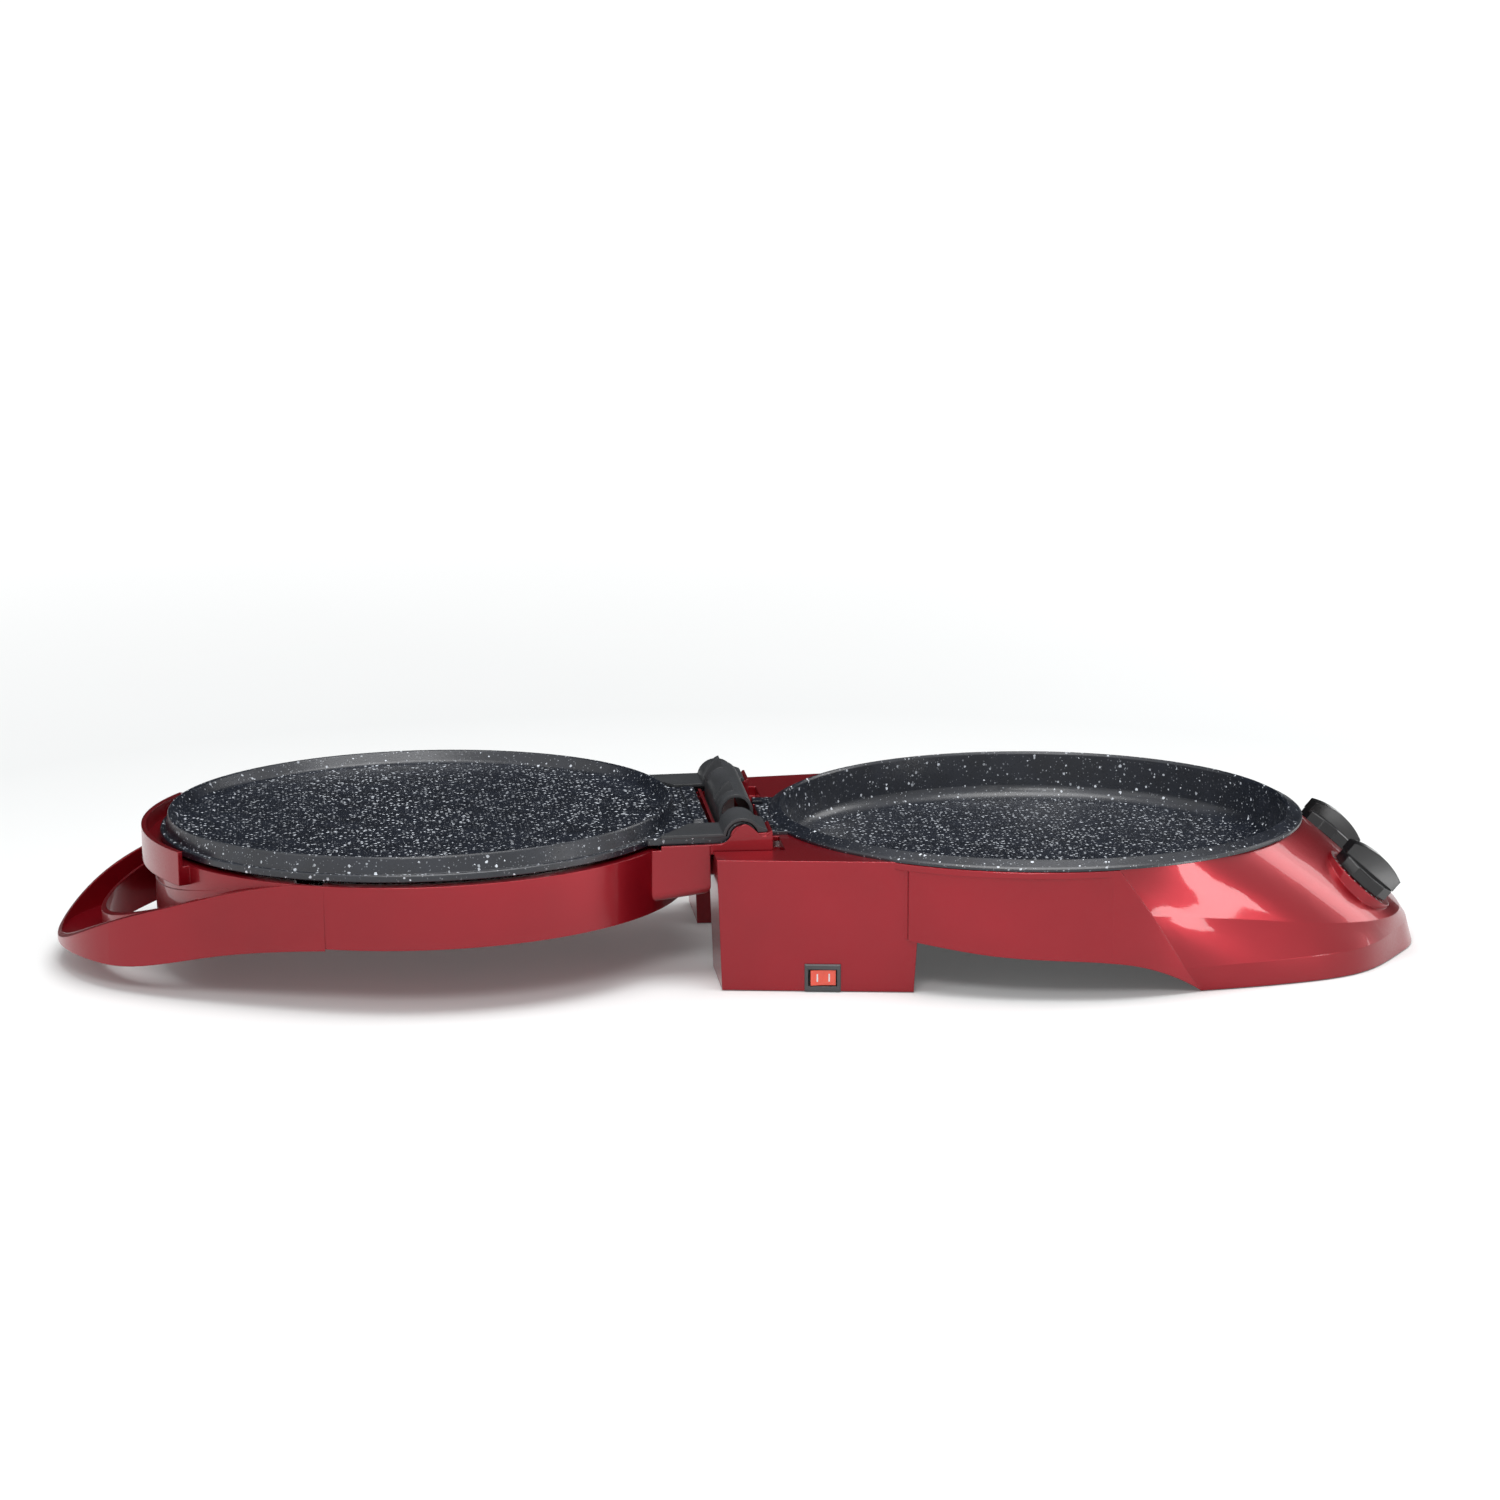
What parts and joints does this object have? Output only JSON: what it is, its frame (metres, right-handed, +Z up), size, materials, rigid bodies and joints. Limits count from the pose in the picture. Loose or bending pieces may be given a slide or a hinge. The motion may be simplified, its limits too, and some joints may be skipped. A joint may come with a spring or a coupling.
{
  "type": "two-plate countertop cooker",
  "caption": "Countertop cooker with a hinged lid, opened flat: a deep round pan in the base, a shallow round plate in the lid, control knobs on the front and a rocker switch on the side.",
  "frame": {"origin": "middle of the opened cooker's length and width, on the surface it stands on", "axes": "+X from the lid's handle to the control knobs, +Y away from the side with the switch, +Z up"},
  "size_m": [0.8494, 0.336, 0.1133],
  "materials": {
    "red_shell": "metallic red lacquer, glossy",
    "stone_coating": "dark speckled non-stick coating, satin",
    "hinge_cover_plastic": "dark grey, fine matte",
    "black_plastic": "black, matte",
    "foot_rubber": "black, matte",
    "gland_rubber": "black, matte",
    "element_steel": "heat-tinted",
    "reflector_sheet": "bright rolled",
    "plain_steel": "zinc plated",
    "control_plastic": "dark grey",
    "switch_plastic": "dark grey, satin",
    "terminal_plastic": "off-white",
    "knob_plastic": "near black, glossy",
    "rocker_plastic": "orange red, translucent",
    "fuse_case": "ceramic white",
    "bush_metal": "plain"
  },
  "bodies": {
    "base": {"base_housing": "red_shell", "base_bottom_cover": "black_plastic", "front_bottom_cover": "black_plastic", "near_pod_cover": "black_plastic", "far_pod_cover": "black_plastic", "rubber_feet": "foot_rubber", "lower_pan": "stone_coating", "lower_heating_element": "element_steel", "lower_heat_reflector": "reflector_sheet", "near_hinge_bracket": "plain_steel", "far_hinge_bracket": "plain_steel", "near_hinge_pin": "plain_steel", "far_hinge_pin": "plain_steel", "thermostat_body": "control_plastic", "timer_body": "control_plastic", "switch_housing": "switch_plastic", "terminal_block": "terminal_plastic", "cord_gland": "gland_rubber", "bottom_screws": "plain_steel"},
    "lid": {"lid_housing": "red_shell", "upper_plate": "stone_coating", "upper_heating_element": "element_steel", "upper_heat_reflector": "reflector_sheet", "thermal_fuse": "fuse_case", "near_hinge_cover": "hinge_cover_plastic", "far_hinge_cover": "hinge_cover_plastic", "hinge_barrel_cover": "hinge_cover_plastic", "hinge_bushes": "bush_metal"},
    "thermostat_control": {"thermostat_knob": "knob_plastic", "thermostat_shaft": "plain_steel"},
    "timer_control": {"timer_knob": "knob_plastic", "timer_shaft": "plain_steel"},
    "switch_button": {"switch_rocker": "rocker_plastic"}
  },
  "joints": [
    {"name": "lid_hinge", "type": "hinge", "parent": "base", "child": "lid", "pos_m": [-0.00675, 0, 0.089], "axis": [0, 1, 0], "range_deg": [0, 181.02]},
    {"name": "thermostat_turn", "type": "hinge", "parent": "base", "child": "thermostat_control", "pos_m": [0.38195, -0.06, 0.0481], "axis": [0.6509, -0.1253, 0.7488], "range_deg": [0, 270]},
    {"name": "timer_turn", "type": "hinge", "parent": "base", "child": "timer_control", "pos_m": [0.38195, 0.06, 0.0481], "axis": [0.6509, 0.1253, 0.7488], "range_deg": [0, 300]},
    {"name": "switch_rock", "type": "hinge", "parent": "base", "child": "switch_button", "pos_m": [0.03892, -0.12381, 0.009], "axis": [0, 0, 1], "range_deg": [-14, 0]}
  ]
}
